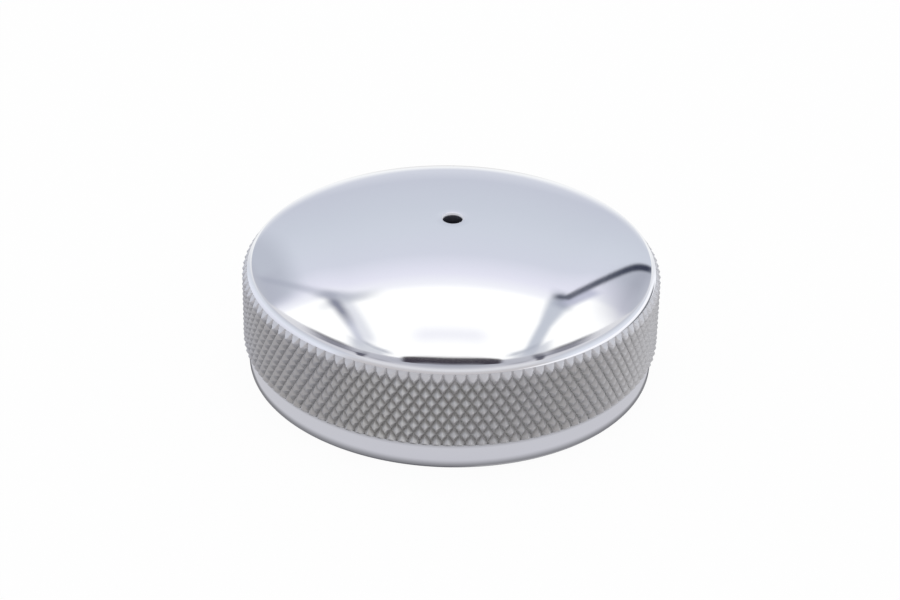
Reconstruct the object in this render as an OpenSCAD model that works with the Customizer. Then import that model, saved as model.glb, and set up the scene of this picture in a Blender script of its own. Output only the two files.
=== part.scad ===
// Vented screw-on fuel cap: a turned and polished aluminium body with a
// diamond-knurled grip, a pressed splash baffle and a flat sealing gasket.
// Millimetres, +Z up. The origin is the centre of the foot, where the open
// mouth of the cap meets the surface that it stands on.

/* [Neck thread] */
// Major diameter of the internal thread that screws onto the filler neck
thread_d = 60.3; // [50:0.1:75]
// Radial depth of the thread form, which leaves the minor bore
thread_depth = 1.15; // [0.8:0.05:1.5]
// Height of the gasket seat above the foot
seat_z = 15.5; // [14:0.1:16]
// Leg of the lead-in chamfer at the mouth
mouth_chamfer = 1; // [0.5:0.1:1.5]

/* [Body] */
// Wall from the thread's major diameter to the smooth outside of the blank
wall = 4.15; // [3.5:0.05:6]
// Height of the smooth tapered skirt below the knurl
skirt_h = 4.7; // [4:0.1:7]
// How far the foot stands in from the smooth outside
foot_inset = 0.3; // [0.2:0.05:1.2]
// Rounding of the foot's outer edge
foot_edge = 0.6; // [0.3:0.05:0.8]
// Rounding of the rim between the grip and the dome
dome_edge = 1.9; // [1.4:0.1:2.5]
// Rise of the dome above the start of that rounding
dome_rise = 9.5; // [8.5:0.1:11]
// Wall of the dome over the vent chamber
dome_wall = 3.2; // [2.5:0.1:4]
// Rounding of the vent chamber's upper corner
chamber_edge = 1.5; // [0.5:0.1:2.5]

/* [Knurl] */
// Height of the knurled band, bevels and all
knurl_h = 13.2; // [12:0.1:15]
// How far the band reaches up past the start of the rim's rounding
rim_lap = 0.6; // [0.3:0.05:0.8]
// Number of diamonds round the band
knurl_teeth = 118; // [90:1:130]
// Number of half-diamond rows between the bevels
knurl_rows = 8; // [6:1:10]
// Height of the diamond tips above the smooth outside
knurl_rise = 0.7; // [0.4:0.05:0.8]
// Depth of the grooves below the smooth outside
knurl_cut = 0.15; // [0.1:0.05:0.3]
// Height of the bevel at the band's top end
top_bevel_h = 1; // [0.6:0.1:1.4]
// Radial depth of that bevel, which runs the grooves out
top_bevel = 0.75; // [0.6:0.05:0.8]
// Height of the bevel at the band's bottom end
low_bevel_h = 0.5; // [0.3:0.1:1]
// Radial depth of that bevel at the tips
low_bevel = 0.4; // [0.2:0.05:0.6]

/* [Vent] */
// Diameter of the vent hole in the middle of the dome
vent_d = 3.2; // [2:0.1:5]
// Edge break round the top of the vent hole
vent_break = 0.3; // [0.1:0.05:0.6]

/* [Splash baffle] */
// Thickness of the baffle's sheet
baffle_t = 1.2; // [0.8:0.1:2]
// Width of the ledge that carries the baffle's rim
baffle_ledge = 3.8; // [3:0.1:6]
// Depth of the pressed dish, towards the tank
dish_depth = 1.6; // [1:0.1:2.2]
// Diameter of the dish's flat floor
dish_d = 34; // [26:0.5:38]
// Number of breather holes in the dish
breather_count = 3; // [2:1:6]
// Diameter of each breather hole
breather_d = 1.6; // [1:0.1:3]
// Diameter of the circle that the breather holes stand on
breather_pcd = 24; // [14:0.5:26]

/* [Gasket] */
// Thickness of the gasket
gasket_t = 2.5; // [1.5:0.1:3.5]
// Radial width of the gasket
gasket_w = 5.2; // [4.5:0.1:7]

/* [Fits] */
// Radial clearance round the baffle in its recess
baffle_gap = 0.15; // [0.05:0.05:0.3]
// How far the gasket's edge stays inside the thread's major radius
gasket_gap = 0.15; // [0.05:0.05:0.3]
// Radial depth of the thread relief beyond the major diameter
relief_depth = 0.4; // [0.2:0.05:0.6]
// Length of open thread relief below the gasket
relief_run = 1.3; // [0.8:0.1:2]

/* [Hidden] */
$fn = 180;
// Overlap that carries a cut clean through a face
over = 1;
// Depth by which the knurl's ring is rooted in the body
root_lap = 0.3;

thread_r = thread_d / 2;
minor_r = thread_r - thread_depth;
relief_r = thread_r + relief_depth;
side_r = thread_r + wall;
foot_r = side_r - foot_inset;

// Heights, from the foot up
knurl_z = skirt_h;
knurl_top = knurl_z + knurl_h;
shoulder_z = knurl_top - rim_lap;
top_z = shoulder_z + dome_rise;
gasket_z = seat_z - gasket_t;
ledge_z = seat_z + baffle_t;
relief_z = gasket_z - relief_run;

// The dome is a sphere that runs tangent into its edge rounding
dome_r = (pow(side_r - dome_edge, 2) + pow(dome_rise, 2) - pow(dome_edge, 2)) / (2 * (dome_rise - dome_edge));
dome_z = top_z - dome_r;

// The knurl's radii and steps
tip_r = side_r + knurl_rise;
groove_r = side_r - knurl_cut;
bed_r = groove_r - root_lap;
knurl_cols = 2 * knurl_teeth;
row_h = (knurl_h - low_bevel_h - top_bevel_h) / knurl_rows;
knurl_end = knurl_rows + 2;

baffle_r = minor_r - baffle_gap;
chamber_r = minor_r - baffle_ledge;
gasket_r = thread_r - gasket_gap;

// A point on the circle of radius r at angle a and height z
function on_ring(r, a, z) = [r * cos(a), r * sin(a), z];

// Centre of a circle of radius r that rounds the corner b between a and c
function corner_centre(a, b, c, r) =
    let (u = (a - b) / norm(a - b), v = (c - b) / norm(c - b), half = acos(u * v) / 2)
    b + (u + v) / norm(u + v) * r / sin(half);

// Where that circle touches the side from the corner b towards a
function corner_touch(a, b, c, r) =
    let (u = (a - b) / norm(a - b), v = (c - b) / norm(c - b), half = acos(u * v) / 2)
    b + u * r / tan(half);

// Section from the axis out to a straight side, under a spherical top whose
// edge is rounded. The sphere's centre is on the axis at height ball_z.
module domed_section(side, edge, ball_r, ball_z, base_z) {
    reach = ball_r - edge;
    edge_z = ball_z + sqrt(pow(reach, 2) - pow(side - edge, 2));
    edge_centre = [side - edge, edge_z];
    beyond = [0, ball_z] + (edge_centre - [0, ball_z]) * (ball_r + over) / reach;
    above = ball_z + ball_r + over;
    intersection() {
        translate([0, ball_z]) circle(r = ball_r);
        polygon([[0, base_z], [side - edge, base_z], edge_centre, beyond, [beyond[0], above], [0, above]]);
    }
    translate(edge_centre) circle(r = edge);
    translate([0, base_z]) square([side, edge_z - base_z]);
}

// Section of the blank's outside, solid to the axis: foot, tapered skirt,
// bed of the knurl, rim and dome
module blank_section() {
    foot = [foot_r, 0];
    skirt_top = [side_r, knurl_z];
    middle = [0, 0];
    polygon([
        middle,
        corner_touch(middle, foot, skirt_top, foot_edge),
        corner_touch(skirt_top, foot, middle, foot_edge),
        skirt_top,
        [bed_r, knurl_z],
        [bed_r, knurl_top],
        [0, knurl_top]
    ]);
    translate(corner_centre(middle, foot, skirt_top, foot_edge)) circle(r = foot_edge);
    difference() {
        domed_section(side_r, dome_edge, dome_r, dome_z, shoulder_z - over);
        translate([bed_r, knurl_z]) square([side_r, knurl_h]);
    }
}

// Section of what is bored out: mouth, thread, relief, baffle recess, chamber
module bore_section() {
    polygon([
        [0, -over],
        [thread_r + mouth_chamfer + over, -over],
        [thread_r, mouth_chamfer],
        [thread_r, relief_z],
        [relief_r, relief_z + relief_depth],
        [relief_r, seat_z],
        [minor_r, seat_z],
        [minor_r, ledge_z],
        [0, ledge_z]
    ]);
    domed_section(chamber_r, chamber_edge, dome_r - dome_wall, dome_z, seat_z);
}

// Height of ring i of the knurl's net, from its bottom end to its top end
function ring_z(i) =
    i == 0 ? knurl_z
    : i == knurl_end ? knurl_top
    : knurl_z + low_bevel_h + (i - 1) * row_h;

// Radius of the net at column k and ring i. Tips and groove crossings take
// turns, and the bevels close the net at both ends.
function knurl_r(k, i) =
    i == knurl_end ? tip_r - top_bevel
    : i == 0 ? (k % 2 == 0 ? groove_r : tip_r - low_bevel)
    : (k + i) % 2 == 1 ? groove_r
    : tip_r;

// Whether the cell above ring i is folded up to the right. Between the bevels
// the folds are the grooves, and on a bevel they start from the tips.
function folds_right(k, i) = (k + i) % 2 == (i == 0 || i == knurl_end - 1 ? 0 : 1);

// Ring of the diamond knurl, with a plain bore that is rooted in the body
module knurl_ring() {
    n = knurl_cols;
    step = 360 / n;
    inner_r = bed_r - root_lap;
    outside = [for (i = [0:knurl_end], k = [0:n - 1]) on_ring(knurl_r(k, i), k * step, ring_z(i))];
    inside = [for (z = [knurl_z, knurl_top], k = [0:n - 1]) on_ring(inner_r, k * step, z)];
    low = len(outside);
    high = low + n;
    last = knurl_end * n;
    cells = [for (i = [0:knurl_end - 1], k = [0:n - 1])
        let (q = (k + 1) % n, a = i * n + k, b = i * n + q, c = b + n, d = a + n)
        each folds_right(k, i) ? [[a, c, b], [a, d, c]] : [[a, d, b], [b, d, c]]];
    ends = [for (k = [0:n - 1])
        let (q = (k + 1) % n)
        each [
            [k, q, low + k], [q, low + q, low + k],
            [last + k, high + k, last + q], [last + q, high + k, high + q],
            [low + k, low + q, high + k], [low + q, high + q, high + k]
        ]];
    polyhedron(points = concat(outside, inside), faces = concat(cells, ends), convexity = 4);
}

// Vent hole through the dome, with its edge broken
module vent_hole() {
    translate([0, 0, ledge_z]) cylinder(d = vent_d, h = top_z - ledge_z + over);
    translate([0, 0, top_z - vent_break])
        cylinder(r1 = vent_d / 2, r2 = vent_d / 2 + vent_break + over, h = vent_break + over);
}

// The body, turned from one bar: skirt, knurled grip, rim and dome
module cap_body() {
    color("gainsboro") difference() {
        union() {
            rotate_extrude() blank_section();
            knurl_ring();
        }
        rotate_extrude() bore_section();
        vent_hole();
    }
}

// Section of the baffle: a flat rim and a shallow dish pressed out of it
module baffle_section() {
    floor_r = dish_d / 2;
    brow_r = floor_r + dish_depth;
    polygon([
        [0, seat_z - dish_depth],
        [floor_r, seat_z - dish_depth],
        [brow_r, seat_z],
        [baffle_r, seat_z],
        [baffle_r, ledge_z],
        [brow_r - baffle_t * tan(22.5), ledge_z],
        [floor_r - baffle_t * tan(22.5), ledge_z - dish_depth],
        [0, ledge_z - dish_depth]
    ]);
}

// Pressed disc under the vent, with its breather holes out of line with it
module splash_baffle() {
    color("silver") difference() {
        rotate_extrude() baffle_section();
        for (i = [0:breather_count - 1])
            rotate(i * 360 / breather_count)
                translate([breather_pcd / 2, 0, seat_z - dish_depth - over])
                    cylinder(d = breather_d, h = baffle_t + 2 * over);
    }
}

// Flat rubber ring that the neck's rim closes against
module sealing_gasket() {
    color("dimgray") translate([0, 0, gasket_z]) difference() {
        cylinder(r = gasket_r, h = gasket_t);
        translate([0, 0, -over]) cylinder(r = gasket_r - gasket_w, h = gasket_t + 2 * over);
    }
}

cap_body();
splash_baffle();
sealing_gasket();
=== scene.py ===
import math

import bmesh
import bpy
from mathutils import Matrix, Vector


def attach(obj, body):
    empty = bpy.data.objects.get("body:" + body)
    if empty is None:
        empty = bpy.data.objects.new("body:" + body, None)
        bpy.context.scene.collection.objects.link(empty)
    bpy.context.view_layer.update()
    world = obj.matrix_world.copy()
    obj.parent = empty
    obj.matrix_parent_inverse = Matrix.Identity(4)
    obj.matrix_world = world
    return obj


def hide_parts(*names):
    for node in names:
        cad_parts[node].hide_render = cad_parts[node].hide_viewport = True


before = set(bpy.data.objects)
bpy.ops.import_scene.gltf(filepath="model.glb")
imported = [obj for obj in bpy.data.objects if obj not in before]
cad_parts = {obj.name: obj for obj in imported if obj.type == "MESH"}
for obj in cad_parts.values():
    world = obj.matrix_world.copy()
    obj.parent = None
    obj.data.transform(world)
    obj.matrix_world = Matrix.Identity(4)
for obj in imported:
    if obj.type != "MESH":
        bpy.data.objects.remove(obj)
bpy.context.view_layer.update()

MM = 0.001
# Edges that fold by more degrees than this stay sharp
SHARP_ANGLE = 32.0

# Sizes of the cap in millimetres, the same as in the part's source
THREAD_R = 30.15
THREAD_DEPTH = 1.15
THREAD_PITCH = 2.5
MINOR_R = THREAD_R - THREAD_DEPTH
RELIEF_DEPTH = 0.4
RELIEF_R = THREAD_R + RELIEF_DEPTH
MOUTH_CHAMFER = 1.0
SIDE_R = 34.3
FOOT_R = SIDE_R - 0.3
FOOT_EDGE = 0.6
KNURL_Z = 4.7
KNURL_TOP = 17.9
RIM_LAP = 0.6
SHOULDER_Z = KNURL_TOP - RIM_LAP
TOP_Z = 26.8
DOME_EDGE = 1.9
DOME_R = ((SIDE_R - DOME_EDGE) ** 2 + (TOP_Z - SHOULDER_Z) ** 2 - DOME_EDGE ** 2) / (
    2 * (TOP_Z - SHOULDER_Z - DOME_EDGE)
)
DOME_Z = TOP_Z - DOME_R
DOME_WALL = 3.2
CHAMBER_R = MINOR_R - 3.8
CHAMBER_EDGE = 1.5
SEAT_Z = 15.5
BAFFLE_T = 1.2
LEDGE_Z = SEAT_Z + BAFFLE_T
BAFFLE_R = MINOR_R - 0.15
DISH_DEPTH = 1.6
DISH_R = 17.0
BREATHER_D = 1.6
BREATHER_PCD = 24.0
BREATHERS = 3
GASKET_T = 2.5
GASKET_R = THREAD_R - 0.15
GASKET_BORE_R = GASKET_R - 5.2
GASKET_Z = SEAT_Z - GASKET_T
RELIEF_Z = GASKET_Z - 1.3
THREAD_START = MOUTH_CHAMFER + 0.5
VENT_R = 1.6
VENT_BREAK = 0.3
VENT_TOP_R = VENT_R + VENT_BREAK

# Small edges, bends and the thread's section, in millimetres and in this script only
SEAT_EDGE = 0.15
BORE_EDGE = 0.1
SHEET_BEND = 0.9
SHEET_EDGE = 0.2
GASKET_EDGE = 0.2
DRILL_L = 6
THREAD_ROOT = 2.1
THREAD_CREST = 0.5
THREAD_SUNK = 0.1
THREAD_RUN_OUT = 0.5
LEAD_IN_TURNS = 0.35
MERGE_MM = 0.002

# The knurl: counts, radii and the two bevels, in millimetres
KNURL_TEETH = 118
KNURL_ROWS = 8
KNURL_STEPS = 4
TIP_R = 35.0
GROOVE_R = 34.15
TOP_BEVEL_H = 1.0
TOP_BEVEL = 0.75
LOW_BEVEL_H = 0.5
LOW_BEVEL = 0.4
CREST_POWER = 1.5
TURNS = 2 * KNURL_TEETH


# Node helpers

def new_material(name):
    material = bpy.data.materials.new(name)
    material.use_nodes = True
    material.node_tree.nodes.clear()
    return material


class Tree:
    """Adds nodes to one tree. A value is a number, a tuple or another node's socket."""

    def __init__(self, tree):
        self.tree = tree

    def add(self, kind, **settings):
        node = self.tree.nodes.new(kind)
        for key, value in settings.items():
            setattr(node, key, value)
        return node

    def put(self, socket, value):
        """Links another node's socket, or sets a constant."""
        if isinstance(value, bpy.types.NodeSocket):
            self.tree.links.new(value, socket)
        else:
            socket.default_value = value

    def maths(self, operation, *values, clamp=False):
        node = self.add("ShaderNodeMath", operation=operation, use_clamp=clamp)
        for socket, value in zip(node.inputs, values):
            self.put(socket, value)
        return node.outputs[0]

    def blend(self, factor, low, high):
        """The colour low at factor 0 and the colour high at 1."""
        node = self.add("ShaderNodeMix", data_type="RGBA")
        self.put(node.inputs[0], factor)
        self.put(node.inputs[6], low)
        self.put(node.inputs[7], high)
        return node.outputs[2]

    def spread(self, value, low, high, out_low=0.0, out_high=1.0, smooth=False):
        """The value moved from one range to another, and held at both ends."""
        node = self.add("ShaderNodeMapRange")
        if smooth:
            node.interpolation_type = "SMOOTHSTEP"
        for socket, item in zip(node.inputs, (value, low, high, out_low, out_high)):
            self.put(socket, item)
        return node.outputs[0]

    def band(self, value, low, high, soft):
        """1 between low and high, with soft edges."""
        rise = self.spread(value, low - soft, low + soft, smooth=True)
        fall = self.spread(value, high - soft, high + soft, 1.0, 0.0, smooth=True)
        return self.maths("MULTIPLY", rise, fall)

    def near(self, line, value, half, soft):
        """1 where the value lies on the line, within half of it and a soft edge."""
        off = self.maths("ABSOLUTE", self.maths("SUBTRACT", value, line))
        return self.spread(off, half - soft, half + soft, 1.0, 0.0, smooth=True)

    def times(self, *values):
        """The product of all the values."""
        total = values[0]
        for value in values[1:]:
            total = self.maths("MULTIPLY", total, value)
        return total

    def curve(self, value, *terms):
        """A polynomial of the value, from the constant term up."""
        total = terms[-1]
        for term in terms[-2::-1]:
            total = self.maths("MULTIPLY_ADD", value, total, term)
        return total

    def ramp(self, value, span, stops):
        """Colours at places from 0 to span."""
        node = self.add("ShaderNodeValToRGB")
        self.put(node.inputs[0], self.maths("DIVIDE", value, span))
        points = node.color_ramp.elements
        while len(points) < len(stops):
            points.new(0.5)
        for point, (place, colour) in zip(points, stops):
            point.position = place / span
            point.color = rgb(*colour)
        return node.outputs[0]

    def painted(self, light, amount, share, colour):
        """The light with a share of this colour laid over it, where the amount says."""
        return self.blend(self.maths("MULTIPLY", amount, share), light, rgb(*colour))


def rgb(*values):
    return (*values, 1.0)


# Finishes

def piece_place(t):
    """The point in the piece's own frame, in metres."""
    return t.add("ShaderNodeTexCoord").outputs["Object"]


def axis_radius(t, place):
    """Distance from the cap's axis and the height, in millimetres."""
    part = t.add("ShaderNodeSeparateXYZ")
    t.put(part.inputs[0], place)
    square = t.maths("MULTIPLY", part.outputs[0], part.outputs[0])
    total = t.maths("MULTIPLY_ADD", part.outputs[1], part.outputs[1], square)
    radius = t.maths("MULTIPLY", t.maths("SQRT", total), 1 / MM)
    return radius, t.maths("MULTIPLY", part.outputs[2], 1 / MM)


def ring_noise(t, radius, height, per_mm, detail=3.0):
    """Noise that is constant round the axis, as a turning tool or a polishing mop leaves it."""
    spot = t.add("ShaderNodeCombineXYZ")
    t.put(spot.inputs[0], t.maths("MULTIPLY", radius, per_mm))
    t.put(spot.inputs[2], t.maths("MULTIPLY", height, per_mm))
    noise = t.add("ShaderNodeTexNoise")
    noise.inputs["Scale"].default_value = 1.0
    noise.inputs["Detail"].default_value = detail
    t.put(noise.inputs["Vector"], spot.outputs[0])
    return noise.outputs["Fac"]


def place_noise(t, place, per_mm, detail=3.0):
    noise = t.add("ShaderNodeTexNoise")
    noise.inputs["Scale"].default_value = per_mm / MM
    noise.inputs["Detail"].default_value = detail
    t.put(noise.inputs["Vector"], place)
    return noise.outputs["Fac"]


def surface(t, colour, roughness, metallic, bump=None, bump_mm=0.0):
    """One Principled shader. The bump is a height from 0 to 1 over bump_mm."""
    shader = t.add("ShaderNodeBsdfPrincipled")
    t.put(shader.inputs["Base Color"], colour)
    t.put(shader.inputs["Roughness"], roughness)
    shader.inputs["Metallic"].default_value = metallic
    if bump is not None:
        node = t.add("ShaderNodeBump")
        node.inputs["Strength"].default_value = 1.0
        node.inputs["Distance"].default_value = bump_mm * MM
        t.put(node.inputs["Height"], bump)
        t.put(shader.inputs["Normal"], node.outputs[0])
    out = t.add("ShaderNodeOutputMaterial")
    t.put(out.inputs["Surface"], shader.outputs[0])


def polished_finish():
    material = new_material("Mop-polished aluminium")
    t = Tree(material.node_tree)
    place = piece_place(t)
    radius, height = axis_radius(t, place)
    rings = ring_noise(t, radius, height, 2.2)
    haze = place_noise(t, place, 0.035, 2.0)
    colour = t.blend(haze, rgb(0.90, 0.905, 0.925), rgb(0.925, 0.93, 0.94))
    # Painted shade: the skirt is darker in the corner under the knurl, where the knurl's overhang shades it
    corner = t.band(height, KNURL_Z - 0.45, KNURL_Z + 0.3, 0.4)
    colour = t.blend(t.maths("MULTIPLY", corner, 0.8), colour, rgb(0.55, 0.55, 0.555))
    worn = t.maths("MULTIPLY_ADD", rings, 0.02, 0.03)
    roughness = t.maths("MULTIPLY_ADD", haze, 0.02, worn)
    # The mop rolls over the broken edge of the vent and leaves it duller
    roughness = t.maths("ADD", roughness, t.spread(radius, VENT_TOP_R - 0.02, VENT_TOP_R + 0.08, 0.4, 0.0))
    surface(t, colour, roughness, 1.0, rings, 0.0003)
    return material


def knurled_finish():
    material = new_material("Rolled knurl, dulled in the grooves")
    t = Tree(material.node_tree)
    place = piece_place(t)
    radius, height = axis_radius(t, place)
    depth = t.spread(radius, GROOVE_R + 0.05, TIP_R - 0.05)
    mottle = place_noise(t, place, 0.9, 4.0)
    patch = place_noise(t, place, 0.06, 2.0)
    lift = t.maths("ADD", depth, t.maths("MULTIPLY_ADD", mottle, 1.4, -0.7), clamp=True)
    groove = t.blend(patch, rgb(0.58, 0.575, 0.55), rgb(0.59, 0.59, 0.60))
    tip = t.blend(patch, rgb(0.62, 0.615, 0.59), rgb(0.63, 0.63, 0.645))
    colour = t.blend(lift, groove, tip)
    # The bevel was turned after the knurling. Over it and towards the top of the knurl the colour is
    # lighter: partly the turned metal's own tone, partly painted light from above that the upward bevel
    # catches
    turned_bevel_and_painted_light = t.spread(height, KNURL_TOP - TOP_BEVEL_H - 1.3, KNURL_TOP - TOP_BEVEL_H + 0.5)
    colour = t.blend(turned_bevel_and_painted_light, colour, rgb(0.76, 0.76, 0.77))
    roughness = t.spread(lift, 0.0, 1.0, 0.55, 0.42)
    surface(t, colour, roughness, 1.0, mottle, 0.03)
    return material


def bored_finish():
    material = new_material("Bored aluminium")
    t = Tree(material.node_tree)
    place = piece_place(t)
    radius, height = axis_radius(t, place)
    rings = ring_noise(t, radius, height, 7.0, 2.0)
    haze = place_noise(t, place, 0.08)
    colour = t.blend(haze, rgb(0.74, 0.74, 0.745), rgb(0.84, 0.84, 0.845))
    roughness = t.maths("MULTIPLY_ADD", rings, 0.15, 0.2)
    surface(t, colour, roughness, 1.0, rings, 0.012)
    return material


def drilled_finish():
    material = new_material("Drilled hole, painted dark for its shade")
    t = Tree(material.node_tree)
    radius, height = axis_radius(t, piece_place(t))
    rings = ring_noise(t, radius, height, 9.0, 2.0)
    # Painted shade: the hole's wall is coloured dark for the shade deep inside the vent
    surface(t, rgb(0.21, 0.21, 0.25), t.spread(rings, 0.0, 1.0, 0.35, 0.6), 1.0, rings, 0.02)
    return material


def sheet_finish():
    material = new_material("Pressed aluminium sheet")
    t = Tree(material.node_tree)
    place = piece_place(t)
    rolling = t.add("ShaderNodeMapping")
    t.put(rolling.inputs["Vector"], place)
    rolling.inputs["Scale"].default_value = (0.02, 1.0, 1.0)
    grain = place_noise(t, rolling.outputs[0], 5.0, 4.0)
    haze = place_noise(t, place, 0.1)
    colour = t.blend(haze, rgb(0.66, 0.66, 0.67), rgb(0.78, 0.78, 0.79))
    roughness = t.maths("MULTIPLY_ADD", grain, 0.18, 0.24)
    surface(t, colour, roughness, 1.0, grain, 0.006)
    return material


def rubber_finish():
    material = new_material("Nitrile rubber")
    t = Tree(material.node_tree)
    place = piece_place(t)
    dust = place_noise(t, place, 0.25, 5.0)
    skin = place_noise(t, place, 3.0, 3.0)
    colour = t.blend(t.spread(dust, 0.45, 0.75), rgb(0.022, 0.022, 0.024), rgb(0.05, 0.048, 0.045))
    roughness = t.maths("MULTIPLY_ADD", dust, 0.2, 0.5)
    surface(t, colour, roughness, 0.0, skin, 0.02)
    return material


# Turned pieces

def arc(centre, radius, start, end, steps):
    """Points (r, z) on an arc. Angles are in degrees, from outwards towards up."""
    turn = [math.radians(start + (end - start) * i / steps) for i in range(steps + 1)]
    return [(centre[0] + radius * math.cos(a), centre[1] + radius * math.sin(a)) for a in turn]


def softened(corners):
    """A closed section. Each corner is (r, z) or (r, z, radius), and a radius rounds it."""
    section = []
    count = len(corners)
    for i, corner in enumerate(corners):
        here = Vector(corner[:2])
        if len(corner) == 2:
            section.append(tuple(here))
            continue
        back = (Vector(corners[i - 1][:2]) - here).normalized()
        ahead = (Vector(corners[(i + 1) % count][:2]) - here).normalized()
        half = back.angle(ahead) / 2
        reach = corner[2] / math.tan(half)
        start, end = here + back * reach, here + ahead * reach
        steps = 3 if corner[2] < 0.5 else 6
        for k in range(steps + 1):
            s = k / steps
            bow = start.lerp(here, s).lerp(here.lerp(end, s), s)
            section.append(tuple(bow))
    return section


def ring(mesh, r, z, count):
    turn = [2 * math.pi * k / count for k in range(count)]
    return [mesh.verts.new((r * math.cos(a) * MM, r * math.sin(a) * MM, z * MM)) for a in turn]


def lathe(mesh, points, finish, fine=()):
    """Turns a line of points (r, z) round the axis. The rings of the points in fine meet the knurl's."""
    rings = [ring(mesh, r, z, TURNS * KNURL_STEPS if (r, z) in fine else TURNS) for r, z in points]
    for low, high in zip(rings, rings[1:]):
        low_steps, high_steps = len(low) // TURNS, len(high) // TURNS
        for k in range(TURNS):
            near = [low[(k * low_steps + i) % len(low)] for i in range(low_steps + 1)]
            far = [high[(k * high_steps + i) % len(high)] for i in range(high_steps + 1)]
            mesh.faces.new(near + far[::-1]).material_index = finish


def close_up(mesh, name, materials, extra=()):
    """Merges what meets, turns the faces outwards and makes the object. The meshes in extra
    come along, each with its finish."""
    for data, finish in extra:
        before = len(mesh.faces)
        mesh.from_mesh(data)
        mesh.faces.ensure_lookup_table()
        for face in mesh.faces[before:]:
            face.material_index = finish
    bmesh.ops.remove_doubles(mesh, verts=mesh.verts, dist=MERGE_MM * MM)
    bmesh.ops.recalc_face_normals(mesh, faces=mesh.faces)
    data = bpy.data.meshes.new(name)
    mesh.to_mesh(data)
    mesh.free()
    for material in materials:
        data.materials.append(material)
    piece = bpy.data.objects.new(name, data)
    bpy.context.collection.objects.link(piece)
    return shade(piece)


def shade(piece):
    """Smooth faces between sharp edges."""
    piece.data.shade_smooth()
    piece.data.set_sharp_from_angle(angle=math.radians(SHARP_ANGLE))
    return piece


def as_mesh(piece, name):
    """A plain mesh of the piece with its modifiers applied. The first object goes."""
    bpy.context.view_layer.update()
    ready = piece.evaluated_get(bpy.context.evaluated_depsgraph_get())
    data = bpy.data.meshes.new_from_object(ready)
    data.name = name
    bpy.data.objects.remove(piece)
    return data


# What both Geometry Nodes trees share

def new_group(name, counts, measures):
    """An empty tree with named inputs: whole numbers, measures and a material."""
    tree = bpy.data.node_groups.new(name, "GeometryNodeTree")
    side = tree.interface
    for label in counts:
        side.new_socket(name=label, in_out="INPUT", socket_type="NodeSocketInt")
    for label in measures:
        side.new_socket(name=label, in_out="INPUT", socket_type="NodeSocketFloat")
    side.new_socket(name="Material", in_out="INPUT", socket_type="NodeSocketMaterial")
    side.new_socket(name="Geometry", in_out="OUTPUT", socket_type="NodeSocketGeometry")
    return tree


def coated(t, geometry, material):
    """The end of each tree: instances made real, and the material set."""
    real = t.add("GeometryNodeRealizeInstances")
    t.put(real.inputs[0], geometry)
    coat = t.add("GeometryNodeSetMaterial")
    t.put(coat.inputs["Geometry"], real.outputs[0])
    t.put(coat.inputs["Material"], material)
    t.put(t.add("NodeGroupOutput").inputs[0], coat.outputs[0])


def grown(name, tree, values):
    """The plain mesh that a Geometry Nodes tree makes from these named inputs."""
    seed = bpy.data.objects.new(name, bpy.data.meshes.new(name))
    bpy.context.collection.objects.link(seed)
    modifier = seed.modifiers.new(name, "NODES")
    modifier.node_group = tree
    for item in tree.interface.items_tree:
        if item.in_out == "INPUT" and item.name in values:
            modifier[item.identifier] = values[item.name]
    return as_mesh(seed, name)


# The knurl, with Geometry Nodes

def knurl_grid(t, given, columns, all_rows):
    """The flat grid that is rolled up. One more ring at each end closes the band."""
    grid = t.add("GeometryNodeMeshGrid")
    t.put(grid.inputs["Size X"], 1.0)
    t.put(grid.inputs["Size Y"], 1.0)
    t.put(grid.inputs["Vertices X"], t.maths("MULTIPLY_ADD", columns, given["Steps"], 1.0))
    t.put(grid.inputs["Vertices Y"], t.maths("MULTIPLY_ADD", all_rows, given["Steps"], 3.0))
    return grid.outputs["Mesh"]


def knurl_radius(t, given, around, row, low_run, top_run):
    """Curved crests between the grooves of two hands, cut down to a cone by each bevel."""
    # Distance from the nearest groove of each hand, from 0 in the groove to 1 midway
    one_hand = t.maths("PINGPONG", t.maths("SUBTRACT", around, row), 1.0)
    other_hand = t.maths("PINGPONG", t.maths("ADD", around, row), 1.0)
    rise = t.maths("MINIMUM", one_hand, other_hand)
    crest = t.maths("SUBTRACT", 1.0, t.maths("POWER", t.maths("SUBTRACT", 1.0, rise), CREST_POWER))
    depth = t.maths("SUBTRACT", given["Tip Radius"], given["Groove Radius"])
    radius = t.maths("MULTIPLY_ADD", crest, depth, given["Groove Radius"])
    for bevel, run in ((given["Top Bevel"], top_run), (given["Low Bevel"], low_run)):
        cone = t.maths("SUBTRACT", given["Tip Radius"], t.maths("MULTIPLY", run, bevel))
        radius = t.maths("MINIMUM", radius, cone)
    return radius


def closed_radius(t, given, reach, middle, radius):
    """The same radius, but the ring at each end goes in to the plain metal beside the knurl."""
    beyond = t.maths("SUBTRACT", t.maths("ABSOLUTE", reach), middle)
    closing = t.maths("GREATER_THAN", beyond, 0.1 / KNURL_STEPS)
    upper = t.maths("GREATER_THAN", reach, 0.0)
    gain = t.maths("SUBTRACT", given["Top Plain Radius"], given["Low Plain Radius"])
    plain = t.maths("MULTIPLY_ADD", upper, gain, given["Low Plain Radius"])
    return t.maths("MULTIPLY_ADD", t.maths("SUBTRACT", plain, radius), closing, radius)


def knurl_level(t, given, row, low_run, top_run):
    """Heights: the low bevel, the rows of diamonds and the top bevel."""
    bevels_h = t.maths("ADD", given["Top Bevel Height"], given["Low Bevel Height"])
    row_h = t.maths("DIVIDE", t.maths("SUBTRACT", given["Height"], bevels_h), given["Half Rows"])
    low_rise = t.maths("MULTIPLY", t.maths("SUBTRACT", 1.0, low_run), given["Low Bevel Height"])
    top_rise = t.maths("MULTIPLY", top_run, given["Top Bevel Height"])
    net_rise = t.maths("MULTIPLY_ADD", row, row_h, given["Bottom"])
    return t.maths("ADD", net_rise, t.maths("ADD", low_rise, top_rise))


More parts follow.
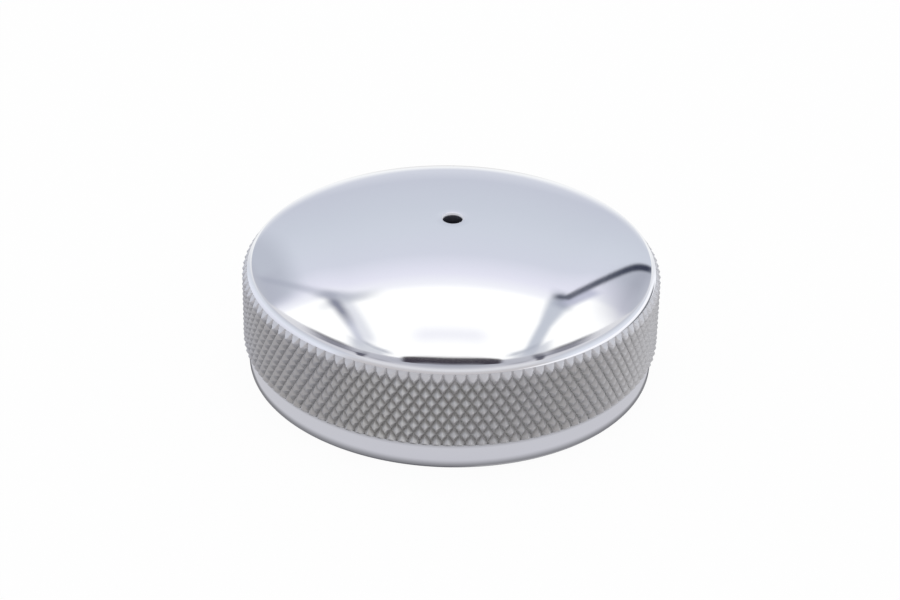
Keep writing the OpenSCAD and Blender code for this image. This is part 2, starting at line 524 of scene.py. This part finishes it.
def knurl_tree():
    """A net of diamonds rolled into a ring, from a flat grid and one rule for its radius."""
    tree = new_group(
        "Diamond knurl",
        ("Diamonds Round", "Half Rows", "Steps"),
        (
            "Bottom",
            "Height",
            "Groove Radius",
            "Tip Radius",
            "Top Plain Radius",
            "Low Plain Radius",
            "Top Bevel Height",
            "Top Bevel",
            "Low Bevel Height",
            "Low Bevel",
        ),
    )
    t = Tree(tree)
    given = t.add("NodeGroupInput").outputs
    columns = t.maths("MULTIPLY", given["Diamonds Round"], 2.0)
    rows = given["Half Rows"]
    # Each bevel takes the steps of one row
    all_rows = t.maths("ADD", rows, 2.0)
    part = t.add("ShaderNodeSeparateXYZ")
    t.put(part.inputs[0], t.add("GeometryNodeInputPosition").outputs[0])
    around = t.maths("MULTIPLY", t.maths("ADD", part.outputs[0], 0.5), columns)
    spare = t.maths("DIVIDE", 2.0, given["Steps"])
    reach = t.maths("MULTIPLY", part.outputs[1], t.maths("ADD", all_rows, spare))
    middle = t.maths("DIVIDE", all_rows, 2.0)
    held = t.maths("MINIMUM", t.maths("MAXIMUM", reach, t.maths("MULTIPLY", middle, -1.0)), middle)
    # Half rows counted from the top of the low bevel, and how far each bevel is run through
    count = t.maths("SUBTRACT", t.maths("ADD", held, middle), 1.0)
    low_run = t.maths("MAXIMUM", t.maths("MULTIPLY", count, -1.0), 0.0)
    top_run = t.maths("MAXIMUM", t.maths("SUBTRACT", count, rows), 0.0)
    row = t.maths("MINIMUM", t.maths("MAXIMUM", count, 0.0), rows)
    radius = knurl_radius(t, given, around, row, low_run, top_run)
    radius = closed_radius(t, given, reach, middle, radius)
    angle = t.maths("MULTIPLY", t.maths("DIVIDE", around, columns), 2 * math.pi)
    spot = t.add("ShaderNodeCombineXYZ")
    t.put(spot.inputs[0], t.maths("MULTIPLY", radius, t.maths("COSINE", angle)))
    t.put(spot.inputs[1], t.maths("MULTIPLY", radius, t.maths("SINE", angle)))
    t.put(spot.inputs[2], knurl_level(t, given, row, low_run, top_run))
    rolled = t.add("GeometryNodeSetPosition")
    t.put(rolled.inputs["Geometry"], knurl_grid(t, given, columns, all_rows))
    t.put(rolled.inputs["Position"], spot.outputs[0])
    joined = t.add("GeometryNodeMergeByDistance")
    t.put(joined.inputs["Geometry"], rolled.outputs[0])
    t.put(joined.inputs["Distance"], MERGE_MM * MM)
    folded = t.add("GeometryNodeTriangulate", quad_method="SHORTEST_DIAGONAL")
    t.put(folded.inputs[0], joined.outputs[0])
    coated(t, folded.outputs[0], given["Material"])
    return tree


def rolled_knurl(top_plain_r, material):
    return grown(
        "Knurl",
        knurl_tree(),
        {
            "Diamonds Round": KNURL_TEETH,
            "Half Rows": KNURL_ROWS,
            "Steps": KNURL_STEPS,
            "Bottom": KNURL_Z * MM,
            "Height": (KNURL_TOP - KNURL_Z) * MM,
            "Groove Radius": GROOVE_R * MM,
            "Tip Radius": TIP_R * MM,
            "Top Plain Radius": top_plain_r * MM,
            "Low Plain Radius": SIDE_R * MM,
            "Top Bevel Height": TOP_BEVEL_H * MM,
            "Top Bevel": TOP_BEVEL * MM,
            "Low Bevel Height": LOW_BEVEL_H * MM,
            "Low Bevel": LOW_BEVEL * MM,
            "Material": material,
        },
    )


# The neck thread, with Geometry Nodes

def helix(t, given, wall):
    """A curve that winds up just inside the wall, from the thread's start."""
    line = t.add("GeometryNodeCurveSpiral")
    t.put(line.inputs["Resolution"], 180)
    t.put(line.inputs["Rotations"], given["Rotations"])
    t.put(line.inputs["Start Radius"], wall)
    t.put(line.inputs["End Radius"], wall)
    t.put(line.inputs["Height"], t.maths("MULTIPLY", given["Pitch"], given["Rotations"]))
    lift = t.add("ShaderNodeCombineXYZ")
    t.put(lift.inputs[2], given["Start"])
    placed = t.add("GeometryNodeTransform")
    t.put(placed.inputs["Geometry"], line.outputs[0])
    t.put(placed.inputs["Translation"], lift.outputs[0])
    upright = t.add("GeometryNodeSetCurveNormal", mode="Z_UP")
    t.put(upright.inputs["Curve"], placed.outputs[0])
    return upright.outputs[0]


def ridge_section(t, given):
    """The thread's trapezoid. It starts a little inside the wall and points to the axis."""
    form = t.add("GeometryNodeCurvePrimitiveQuadrilateral", mode="TRAPEZOID")
    tall = t.maths("ADD", given["Depth"], given["Sunk"])
    t.put(form.inputs["Bottom Width"], given["Root Width"])
    t.put(form.inputs["Top Width"], given["Crest Width"])
    t.put(form.inputs["Height"], tall)
    t.put(form.inputs["Offset"], 0.0)
    turn = t.add("GeometryNodeTransform")
    move = t.add("ShaderNodeCombineXYZ")
    t.put(move.inputs[0], t.maths("MULTIPLY", tall, 0.5))
    t.put(turn.inputs["Geometry"], form.outputs[0])
    t.put(turn.inputs["Translation"], move.outputs[0])
    t.put(turn.inputs["Rotation"], (0.0, 0.0, -math.pi / 2))
    return turn.outputs[0]


def thread_tree():
    """A ridge that runs up a helix inside the bore and fades into the wall at both ends."""
    tree = new_group(
        "Neck thread",
        (),
        (
            "Radius",
            "Depth",
            "Pitch",
            "Rotations",
            "Start",
            "Root Width",
            "Crest Width",
            "Lead In",
            "Sunk",
        ),
    )
    t = Tree(tree)
    given = t.add("NodeGroupInput").outputs
    wall = t.maths("ADD", given["Radius"], given["Sunk"])
    along = t.add("GeometryNodeSplineParameter").outputs["Factor"]
    to_end = t.maths("MINIMUM", along, t.maths("SUBTRACT", 1.0, along))
    turns_in = t.maths("MULTIPLY", to_end, given["Rotations"])
    faded = t.maths("DIVIDE", turns_in, given["Lead In"], clamp=True)
    ridge = t.add("GeometryNodeCurveToMesh")
    t.put(ridge.inputs["Curve"], helix(t, given, wall))
    t.put(ridge.inputs["Profile Curve"], ridge_section(t, given))
    t.put(ridge.inputs["Scale"], t.maths("MAXIMUM", faded, 0.03))
    t.put(ridge.inputs["Fill Caps"], True)
    coated(t, ridge.outputs[0], given["Material"])
    return tree


def thread_ridge(material):
    data = grown(
        "Neck thread",
        thread_tree(),
        {
            "Radius": THREAD_R * MM,
            "Depth": THREAD_DEPTH * MM,
            "Pitch": THREAD_PITCH * MM,
            "Rotations": (RELIEF_Z - THREAD_RUN_OUT - THREAD_START) / THREAD_PITCH,
            "Start": THREAD_START * MM,
            "Root Width": THREAD_ROOT * MM,
            "Crest Width": THREAD_CREST * MM,
            "Lead In": LEAD_IN_TURNS,
            "Sunk": THREAD_SUNK * MM,
            "Material": material,
        },
    )
    return close_up(bmesh.new(), "neck_thread_ridge", [material], [(data, 0)])


# The camera. REACH is its distance in knurl radii, and SCALE_PX is that radius in pixels
ELEVATION = math.radians(31.61)
LEAN = math.radians(1.25)
REACH = 12.5
SCALE_PX = 206.09
IMAGE_PX = 900
AIM_PX = (450.185, 331.70)
MIDDLE_PX = (450.0, 300.0)
SENSOR_MM = 36


def photo_camera():
    """The camera looks at the foot of the knurl, shifted to where the photograph has it."""
    camera = bpy.data.objects.new("Camera", bpy.data.cameras.new("Camera"))
    bpy.context.collection.objects.link(camera)
    bpy.context.scene.camera = camera
    level = Vector((1, 0, 0))
    steep = Vector((0, math.sin(ELEVATION), math.cos(ELEVATION)))
    back = Vector((0, -math.cos(ELEVATION), math.sin(ELEVATION)))
    right = level * math.cos(LEAN) + steep * math.sin(LEAN)
    up = steep * math.cos(LEAN) - level * math.sin(LEAN)
    pixel = TIP_R * MM / SCALE_PX
    knurl_foot = Vector((0, 0, KNURL_Z * MM))
    eye = knurl_foot + back * REACH * TIP_R * MM
    target = (
        knurl_foot
        - right * (AIM_PX[0] - MIDDLE_PX[0]) * pixel
        + up * (AIM_PX[1] - MIDDLE_PX[1]) * pixel
    )
    back = (eye - target).normalized()
    right = up.cross(back).normalized()
    up = back.cross(right)
    camera.matrix_world = Matrix((
        (right.x, up.x, back.x, eye.x),
        (right.y, up.y, back.y, eye.y),
        (right.z, up.z, back.z, eye.z),
        (0, 0, 0, 1),
    ))
    camera.data.sensor_width = SENSOR_MM
    camera.data.lens = SENSOR_MM * SCALE_PX * REACH / IMAGE_PX
    camera.data.clip_start = 0.01


photo_camera()


# The cap's body
POLISHED, KNURLED, BORED, DRILLED = 0, 1, 2, 3
ROOF_R = DOME_R - DOME_WALL


def tilt_at(reach, radius):
    """Degrees from upright at which an arc of this radius is this far to the side."""
    return math.degrees(math.asin(reach / radius))


def dome_level(radius, tilt):
    """The height of a point at this radius and tilt from the dome's centre."""
    return DOME_Z + radius * math.cos(math.radians(tilt))


def skirt_line():
    """Outside, from the mouth's chamfer round the foot and up to the knurl."""
    foot_corner = softened([(20, 0), (FOOT_R, 0, FOOT_EDGE), (SIDE_R, KNURL_Z)])[1:-1]
    return [(THREAD_R + MOUTH_CHAMFER, 0.0)] + foot_corner + [(SIDE_R, KNURL_Z)]


def crown_line():
    """Outside, over the rim and the dome to the vent's broken edge."""
    dome_tilt = tilt_at(SIDE_R - DOME_EDGE, DOME_R - DOME_EDGE)
    vent_tilt = tilt_at(VENT_TOP_R, DOME_R)
    vent_top_z = dome_level(DOME_R, vent_tilt)
    rim_start = tilt_at(RIM_LAP, DOME_EDGE)
    rim = arc((SIDE_R - DOME_EDGE, SHOULDER_Z), DOME_EDGE, rim_start, 90 - dome_tilt, 14)
    dome = arc((0, DOME_Z), DOME_R, 90 - dome_tilt, 90 - vent_tilt, 26)
    broken_edge = [
        (VENT_R + VENT_BREAK * 0.45, vent_top_z - VENT_BREAK * 0.3),
        (VENT_R + VENT_BREAK * 0.12, vent_top_z - VENT_BREAK * 0.75),
        (VENT_R, vent_top_z - VENT_BREAK * 1.2),
    ]
    return rim + dome[1:] + broken_edge


def inside_line():
    """Inside, from the vent over the chamber's roof and down the bore to the mouth."""
    roof_tilt = tilt_at(CHAMBER_R - CHAMBER_EDGE, ROOF_R - CHAMBER_EDGE)
    roof_edge_z = dome_level(ROOF_R - CHAMBER_EDGE, roof_tilt)
    roof = arc((0, DOME_Z), ROOF_R, 90 - tilt_at(VENT_R, ROOF_R), 90 - roof_tilt, 8)
    corner = arc((CHAMBER_R - CHAMBER_EDGE, roof_edge_z), CHAMBER_EDGE, 90 - roof_tilt, 0, 5)
    bore = softened([
        (CHAMBER_R, roof_edge_z - 1),
        (CHAMBER_R, LEDGE_Z, SEAT_EDGE),
        (MINOR_R, LEDGE_Z),
        (MINOR_R, SEAT_Z, SEAT_EDGE),
        (RELIEF_R, SEAT_Z),
        (RELIEF_R, RELIEF_Z + RELIEF_DEPTH, SEAT_EDGE),
        (THREAD_R, RELIEF_Z, BORE_EDGE),
        (THREAD_R, MOUTH_CHAMFER, BORE_EDGE),
        (THREAD_R + MOUTH_CHAMFER, 0.0),
    ])
    return roof + corner[1:] + bore


def turned_body(finishes):
    """The cap is one turning, with the knurl rolled into it and the vent drilled through."""
    skirt = skirt_line()
    crown = crown_line()
    vent = [crown[-1], (VENT_R, dome_level(ROOF_R, tilt_at(VENT_R, ROOF_R)))]
    knurl = rolled_knurl(crown[0][0], finishes[KNURLED])
    mesh = bmesh.new()
    lathe(mesh, skirt, POLISHED, [skirt[-1]])
    lathe(mesh, crown, POLISHED, [crown[0]])
    lathe(mesh, vent, DRILLED)
    lathe(mesh, inside_line(), BORED)
    return close_up(mesh, "turned_body", finishes, [(knurl, KNURLED)])


cap_finishes = [polished_finish(), knurled_finish(), bored_finish(), drilled_finish()]
cap = turned_body(cap_finishes)
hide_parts("cap_body")
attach(cap, "root")

thread = thread_ridge(cap_finishes[BORED])
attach(thread, "root")


# The splash baffle

def breather_drills():
    """A ring of drills, the tools for the breather holes."""
    mesh = bmesh.new()
    for i in range(BREATHERS):
        turn = 2 * math.pi * i / BREATHERS
        across = BREATHER_PCD / 2 * math.cos(turn)
        along = BREATHER_PCD / 2 * math.sin(turn)
        spot = Vector((across, along, SEAT_Z - DISH_DEPTH / 2)) * MM
        bmesh.ops.create_cone(
            mesh,
            cap_ends=True,
            segments=32,
            radius1=BREATHER_D / 2 * MM,
            radius2=BREATHER_D / 2 * MM,
            depth=DRILL_L * MM,
            matrix=Matrix.Translation(spot),
        )
    data = bpy.data.meshes.new("Drills")
    mesh.to_mesh(data)
    mesh.free()
    drills = bpy.data.objects.new("Drills", data)
    bpy.context.collection.objects.link(drills)
    return drills


def pressed_disc():
    """The sheet, dished in the middle and flat where it lies on the ledge."""
    line = softened([
        (0.0, SEAT_Z - DISH_DEPTH),
        (DISH_R, SEAT_Z - DISH_DEPTH, SHEET_BEND),
        (DISH_R + DISH_DEPTH, SEAT_Z, SHEET_BEND),
        (BAFFLE_R, SEAT_Z, SHEET_EDGE),
        (BAFFLE_R, LEDGE_Z, SHEET_EDGE),
        (DISH_R + DISH_DEPTH - 0.5, LEDGE_Z, SHEET_BEND),
        (DISH_R - 0.5, LEDGE_Z - DISH_DEPTH, SHEET_BEND),
        (0.0, LEDGE_Z - DISH_DEPTH),
    ])
    mesh = bmesh.new()
    lathe(mesh, line, 0)
    return close_up(mesh, "Pressed disc", [sheet_finish()])


def pressed_baffle():
    disc = pressed_disc()
    drills = breather_drills()
    holes = disc.modifiers.new("Breather holes", "BOOLEAN")
    holes.operation = "DIFFERENCE"
    holes.solver = "EXACT"
    holes.object = drills
    data = as_mesh(disc, "pressed_baffle")
    bpy.data.objects.remove(drills)
    piece = bpy.data.objects.new("pressed_baffle", data)
    bpy.context.collection.objects.link(piece)
    return shade(piece)


baffle = pressed_baffle()
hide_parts("splash_baffle")
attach(baffle, "root")


# The gasket

def gasket_ring():
    line = softened([
        (GASKET_BORE_R, GASKET_Z, GASKET_EDGE),
        (GASKET_R, GASKET_Z, GASKET_EDGE),
        (GASKET_R, SEAT_Z, GASKET_EDGE),
        (GASKET_BORE_R, SEAT_Z, GASKET_EDGE),
    ])
    mesh = bmesh.new()
    lathe(mesh, line + line[:1], 0)
    return close_up(mesh, "gasket_ring", [rubber_finish()])


gasket = gasket_ring()
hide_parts("sealing_gasket")
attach(gasket, "root")


# The table

def table_finish():
    """White to the camera, with the cap's shadow. Polished metal sees the tent through it, and
    only the contact shade close round the foot."""
    material = new_material("White table")
    t = Tree(material.node_tree)
    ray = t.add("ShaderNodeLightPath").outputs
    place = piece_place(t)
    radius = axis_radius(t, place)[0]
    paint = t.add("ShaderNodeBsdfDiffuse")
    paint.inputs["Color"].default_value = rgb(0.8, 0.8, 0.81)
    light = t.add("ShaderNodeEmission")
    lit = t.add("ShaderNodeMixShader")
    t.put(lit.inputs[0], t.maths("MULTIPLY", ray["Is Camera Ray"], TABLE_GLOW))
    t.put(lit.inputs[1], paint.outputs[0])
    t.put(lit.inputs[2], light.outputs[0])
    pane = t.add("ShaderNodeBsdfTransparent")
    # The light comes from above and behind, so the contact shade reaches out in front
    part = t.add("ShaderNodeSeparateXYZ")
    t.put(part.inputs[0], place)
    reach = t.spread(part.outputs[1], -0.032, -0.012, FOOT_R + 1.9, FOOT_R + 0.8)
    shade_round = t.spread(radius, FOOT_R + 0.3, reach, CONTACT_SHADE, 1.0, smooth=True)
    t.put(pane.inputs["Color"], shade_round)
    mix = t.add("ShaderNodeMixShader")
    t.put(mix.inputs[0], ray["Is Glossy Ray"])
    t.put(mix.inputs[1], lit.outputs[0])
    t.put(mix.inputs[2], pane.outputs[0])
    out = t.add("ShaderNodeOutputMaterial")
    t.put(out.inputs["Surface"], mix.outputs[0])
    return material


def flat_piece(name, corners, material):
    data = bpy.data.meshes.new(name)
    data.from_pydata(corners, [], [tuple(range(len(corners)))])
    data.materials.append(material)
    piece = bpy.data.objects.new(name, data)
    bpy.context.collection.objects.link(piece)
    return piece


TABLE_HALF = 3.0
TABLE_GLOW = 0.95
CONTACT_SHADE = 0.38
table_corners = [
    (-TABLE_HALF, -TABLE_HALF, 0),
    (TABLE_HALF, -TABLE_HALF, 0),
    (TABLE_HALF, TABLE_HALF, 0),
    (-TABLE_HALF, TABLE_HALF, 0),
]
flat_piece("Table", table_corners, table_finish())


# The light tent

def sky_map(t):
    """The map that the tent is drawn on, in degrees from the zenith: how far to the cap's right,
    how far to its back, and how far in all."""
    part = t.add("ShaderNodeSeparateXYZ")
    t.put(part.inputs[0], t.add("ShaderNodeTexCoord").outputs["Generated"])
    x, y, z = part.outputs
    level = t.maths("SQRT", t.maths("MULTIPLY_ADD", x, x, t.maths("MULTIPLY", y, y)))
    level = t.maths("MAXIMUM", level, 0.0001)
    zenith = t.maths("MULTIPLY", t.maths("ARCTAN2", level, z), 180 / math.pi)
    scale = t.maths("DIVIDE", zenith, level)
    return t.maths("MULTIPLY", scale, x), t.maths("MULTIPLY", scale, y), zenith


def roof_and_back_wall(t, aside, behind, wide):
    """The roof panel, white up to 31 degrees behind, and the greyer back wall."""
    flank = t.spread(wide, 20, 27, 0.0, 2.5, smooth=True)
    flank = t.maths("ADD", flank, t.spread(aside, 24, 30, 0.0, 4.0, smooth=True))
    light = t.ramp(t.maths("SUBTRACT", behind, flank), 110, [
        (30.0, (0.96, 0.96, 0.95)),
        (32.0, (0.80, 0.805, 0.85)),
        (36.0, (0.70, 0.70, 0.79)),
        (44.0, (0.575, 0.595, 0.675)),
        (56.0, (0.55, 0.58, 0.65)),
        (68.0, (0.52, 0.55, 0.62)),
        (88.0, (0.487, 0.51, 0.585)),
        (98.0, (0.55, 0.57, 0.64)),
    ])
    shade_patch = t.times(t.band(aside, -8, 8, 3), t.band(behind, 12.5, 16.5, 3))
    light = t.painted(light, shade_patch, 0.75, (0.72, 0.72, 0.79))
    # The back wall gets darker towards its left end
    left_end = t.times(t.spread(aside, -28, -33.5, smooth=True), t.spread(behind, 34, 42, smooth=True))
    light = t.painted(light, left_end, 0.9, (0.43, 0.455, 0.52))
    left_foot = t.times(t.spread(aside, -31.5, -36, smooth=True), t.band(behind, 38, 53, 3))
    return t.painted(light, left_foot, 0.5, (0.37, 0.38, 0.45))


def left_seam(t, light, aside, behind):
    """The seam at the roof's left: pale near the front, dark where it meets the back wall."""
    line = t.curve(behind, -16.3, -0.2, -0.0018)
    soft = t.times(t.near(t.curve(line, 1.9, 1.0), aside, 1.3, 1.2), t.band(behind, 14, 31.5, 2))
    light = t.painted(light, soft, 0.6, (0.50, 0.52, 0.60))
    smear = t.times(t.band(behind, 29.0, 32.0, 1.3), t.band(aside, -26.5, -15.5, 3))
    light = t.painted(light, smear, 0.6, (0.48, 0.50, 0.55))
    pale = t.times(t.near(line, aside, 0.9, 0.8), t.band(behind, 14, 24, 2.5))
    light = t.painted(light, pale, 0.75, (0.40, 0.42, 0.52))
    dark = t.times(t.near(line, aside, 1.0, 1.0), t.band(behind, 23, 34.0, 4))
    light = t.painted(light, dark, 0.95, (0.16, 0.17, 0.235))
    top_line = t.curve(aside, 19.0, -0.6)
    top = t.times(t.near(top_line, behind, 1.2, 1.3), t.band(aside, -27.5, -22.5, 1.8))
    return t.painted(light, top, 0.65, (0.30, 0.31, 0.38))


def right_seam(t, light, aside, behind):
    """The seam at the roof's right, wider and darker where it meets the back wall."""
    line = t.curve(behind, 15.1, 0.235)
    half = t.spread(behind, 22, 30, 1.3, 2.2)
    off = t.maths("DIVIDE", t.maths("SUBTRACT", aside, line), half)
    pale = t.times(t.near(0.0, off, 1.0, 0.5), t.band(behind, 10, 32.5, 2))
    light = t.painted(light, pale, 0.9, (0.43, 0.46, 0.53))
    top = t.times(t.near(22.9, aside, 1.7, 1.8), t.band(behind, 30.0, 35.5, 1.8))
    return t.painted(light, top, 0.85, (0.27, 0.29, 0.36))


def slate_line(t, light, aside, behind):
    """A slate line up the right of the back wall, bent over at its far end. Below it lie a
    narrow shade and a greyer wall."""
    line = t.curve(behind, -2.5, 0.998, -0.0067)
    to_side = t.maths("SUBTRACT", aside, line)
    to_end = t.maths("MULTIPLY", t.maths("SUBTRACT", 64.0, behind), 0.39)
    under = t.maths("SMOOTH_MIN", to_side, to_end, 4.2)
    wall_grey = t.blend(t.spread(behind, 36, 52), rgb(0.47, 0.475, 0.545), rgb(0.355, 0.37, 0.43))
    shaded = t.times(t.spread(under, 0.2, 1.4, smooth=True), t.spread(behind, 24, 40, smooth=True))
    light = t.blend(t.times(shaded, t.spread(aside, 28, 35)), light, wall_grey)
    narrow = t.times(t.near(1.6, to_side, 1.3, 0.7), t.band(behind, 31.5, 41.0, 1.8))
    light = t.painted(light, narrow, 0.85, (0.42, 0.43, 0.54))
    far = t.spread(aside, 42, 44, 1.0, 0.0)
    slate = t.times(t.near(0.0, under, 0.78, 0.45), t.band(behind, 33.4, 68.0, 0.8), far)
    start_line = t.curve(aside, 23.6, 0.45)
    start = t.times(t.near(start_line, behind, 0.9, 0.9), t.band(aside, 21.2, 24.0, 1.2))
    slate = t.maths("MAXIMUM", slate, start)
    dark_end = t.spread(behind, 34, 58, 0.90, 1.0)
    return t.painted(light, slate, dark_end, (0.036, 0.042, 0.068))


def left_corner(t, light, aside, behind):
    """The roof's left corner runs out in a grey line across the back wall."""
    line = t.curve(aside, 44.3, 1.731, 0.0534)
    corner = t.times(t.near(line, behind, 1.6, 1.4), t.band(aside, -38, -19, 3))
    return t.painted(light, corner, 0.55, (0.34, 0.36, 0.43))


def side_walls(t, light, wide):
    """The side walls, out past the dome's own reflections."""
    side = t.ramp(wide, 120, [
        (36.0, (0.40, 0.42, 0.48)),
        (42.0, (0.47, 0.48, 0.54)),
        (50.0, (0.54, 0.56, 0.62)),
        (60.0, (0.62, 0.65, 0.71)),
        (72.0, (0.69, 0.71, 0.79)),
        (90.0, (0.64, 0.65, 0.72)),
        (120.0, (0.50, 0.50, 0.53)),
    ])
    return t.blend(t.spread(wide, 35.5, 38.5, smooth=True), light, side)


def rear_foot(t, light, behind, wide):
    """The bright foot of the back wall, seen in the rear of the rim."""
    line = t.curve(wide, 103.0, 0.0, -0.025)
    rear = t.spread(t.maths("SUBTRACT", behind, line), -3, 5, smooth=True)
    rear = t.times(rear, t.spread(wide, 36, 60, 1.0, 0.0, smooth=True))
    return t.painted(light, rear, 1.0, (0.80, 0.81, 0.82))


def front_wall(t, aside, behind, wide, zenith, past):
    """The front, towards the camera, brightest half way down, with a dark wedge at each side."""
    front = t.ramp(zenith, 180, [
        (4.0, (0.36, 0.365, 0.42)),
        (20.0, (0.42, 0.425, 0.47)),
        (32.0, (0.52, 0.52, 0.565)),
        (46.0, (0.64, 0.64, 0.665)),
        (56.0, (0.60, 0.60, 0.63)),
        (68.0, (0.50, 0.49, 0.51)),
        (84.0, (0.475, 0.455, 0.465)),
        (112.0, (0.42, 0.40, 0.40)),
        (122.0, (0.50, 0.50, 0.53)),
        (134.0, (0.50, 0.50, 0.54)),
        (160.0, (0.30, 0.30, 0.33)),
    ])
    flanks = t.times(t.band(wide, 22, 30, 3), t.spread(past, 6.0, 20.0, 1.0, 0.0, smooth=True))
    front = t.painted(front, flanks, 0.8, (0.15, 0.15, 0.185))
    corners = t.times(t.band(wide, 19.5, 26, 2), t.band(behind, -18, -5, 4))
    front = t.painted(front, corners, 0.45, (0.20, 0.20, 0.24))
    left_line = t.curve(behind, -25.2, 0.488)
    left_wedge = t.times(t.near(left_line, aside, 1.7, 0.9), t.band(behind, -14, 10, 2))
    right_line = t.curve(behind, 25.7, -0.5)
    right_wedge = t.times(t.near(right_line, aside, 1.7, 0.9), t.band(behind, -18, 12, 3))
    return t.painted(front, t.maths("MAXIMUM", left_wedge, right_wedge), 0.9, (0.06, 0.06, 0.085))


def low_screen(t, light, aside, zenith, ahead):
    """A white screen low on the right lights the knurl. It stops above and below what the skirt
    mirrors. A dark edge in it is seen as a thin line along the foot of the rim."""
    part = t.maths("MAXIMUM", t.band(zenith, 78, 117, 3), t.spread(zenith, 138, 143))
    screen = t.times(t.spread(aside, 40, 62, smooth=True), part)
    light = t.painted(light, screen, 0.8, (0.91, 0.91, 0.94))
    edge = t.times(t.band(zenith, 94, 104, 2), t.spread(aside, 58, 70, smooth=True))
    edge = t.times(edge, t.spread(ahead, -0.6, -0.4))
    return t.painted(light, edge, 0.9, (0.10, 0.105, 0.12))


def rim_lines(t, light, aside, behind, wide, past):
    """Dark lines along the rim: a lens in front, the seams' feet and thin ones beside it."""
    square = t.times(wide, wide)
    top = t.maths("SUBTRACT", past, t.curve(square, -1.65, 0.0, 0.00008))
    foot = t.maths("SUBTRACT", past, t.curve(square, 1.6, -0.007, 0.00025))
    lens = t.times(t.spread(top, -0.2, 0.25, smooth=True), t.spread(foot, -0.8, 0.8, 1.0, 0.0, smooth=True))
    lens = t.times(lens, t.band(aside, -10.9, 12.0, 0.8))
    light = t.painted(light, lens, 0.97, (0.03, 0.024, 0.036))
    foot_line = t.curve(wide, 10.7, -0.75, 0.05)
    feet = t.times(t.near(foot_line, behind, 0.6, 0.5), t.band(wide, 13.2, 19.5, 1.5))
    light = t.painted(light, feet, 0.9, (0.37, 0.39, 0.45))
    under_feet = t.spread(t.maths("SUBTRACT", foot_line, behind), 0.3, 1.0)
    below = t.times(under_feet, t.spread(past, -0.2, 0.3, 1.0, 0.0), t.band(wide, 14.5, 22.0, 1.5))
    light = t.painted(light, below, 0.75, (0.46, 0.48, 0.54))
    thin = t.times(t.band(past, -0.6, 0.9, 0.3), t.band(wide, 23, 30, 2))
    return t.painted(light, thin, 0.7, (0.11, 0.11, 0.13))


def tent_light(t):
    """What polished metal sees of the white light tent. Each step paints over the one before.
    aside and behind are degrees to the cap's right and to its back, and wide is to either side."""
    aside, behind, zenith = sky_map(t)
    wide = t.maths("ABSOLUTE", aside)
    ahead = t.maths("DIVIDE", behind, zenith)
    # The edge of the dome's own reflections, and how far past it a direction lies
    rim = t.curve(t.times(wide, wide), 5.6, 0.0125, 0.0000082)
    past = t.maths("SUBTRACT", rim, behind)
    light = roof_and_back_wall(t, aside, behind, wide)
    light = left_seam(t, light, aside, behind)
    light = right_seam(t, light, aside, behind)
    light = slate_line(t, light, aside, behind)
    light = left_corner(t, light, aside, behind)
    light = side_walls(t, light, wide)
    light = rear_foot(t, light, behind, wide)
    in_front = t.spread(past, -0.1, 0.3, smooth=True)
    in_front = t.times(in_front, t.spread(wide, 34.0, 48.0, 1.0, 0.0, smooth=True))
    in_front = t.maths("MAXIMUM", in_front, t.spread(ahead, -0.75, -0.35, 1.0, 0.0, smooth=True))
    low = t.spread(zenith, 105, 122, smooth=True)
    front = front_wall(t, aside, behind, wide, zenith, past)
    light = t.blend(t.maths("MAXIMUM", in_front, low), light, front)
    light = low_screen(t, light, aside, zenith, ahead)
    return rim_lines(t, light, aside, behind, wide, past)


# How bright the tent is to metal, beside 1 for everything else
TENT_LEVEL = 1.2


def studio_world():
    """White to the camera, the painted tent to polished metal, and an even grey as light."""
    world = bpy.data.worlds.new("Studio")
    bpy.context.scene.world = world
    world.use_nodes = True
    world.node_tree.nodes.clear()
    w = Tree(world.node_tree)
    sky = w.add("ShaderNodeBackground")
    ray = w.add("ShaderNodeLightPath").outputs
    plain = w.maths("MAXIMUM", ray["Is Camera Ray"], ray["Is Transmission Ray"])
    tent = w.blend(plain, tent_light(w), rgb(1, 1, 1))
    seen = w.maths("MAXIMUM", plain, ray["Is Glossy Ray"])
    w.put(sky.inputs["Color"], w.blend(seen, rgb(0.75, 0.75, 0.75), tent))
    strength = w.maths("MULTIPLY_ADD", ray["Is Glossy Ray"], TENT_LEVEL - 1.0, 1.0)
    w.put(sky.inputs["Strength"], strength)
    w.put(w.add("ShaderNodeOutputWorld").inputs["Surface"], sky.outputs[0])


def softbox():
    """The lamp above and a little behind the cap. It gives the shadow, and metal doesn't see it."""
    lamp = bpy.data.objects.new("Softbox", bpy.data.lights.new("Softbox", "AREA"))
    lamp.data.shape = "RECTANGLE"
    lamp.data.size = 0.6
    lamp.data.size_y = 0.5
    lamp.data.energy = 3.0
    lamp.location = (0, 0.125, 0.89)
    lamp.rotation_euler = Vector(lamp.location).to_track_quat("Z", "Y").to_euler()
    lamp.visible_glossy = False
    bpy.context.collection.objects.link(lamp)


studio_world()
softbox()

bpy.context.scene.view_settings.view_transform = "Standard"
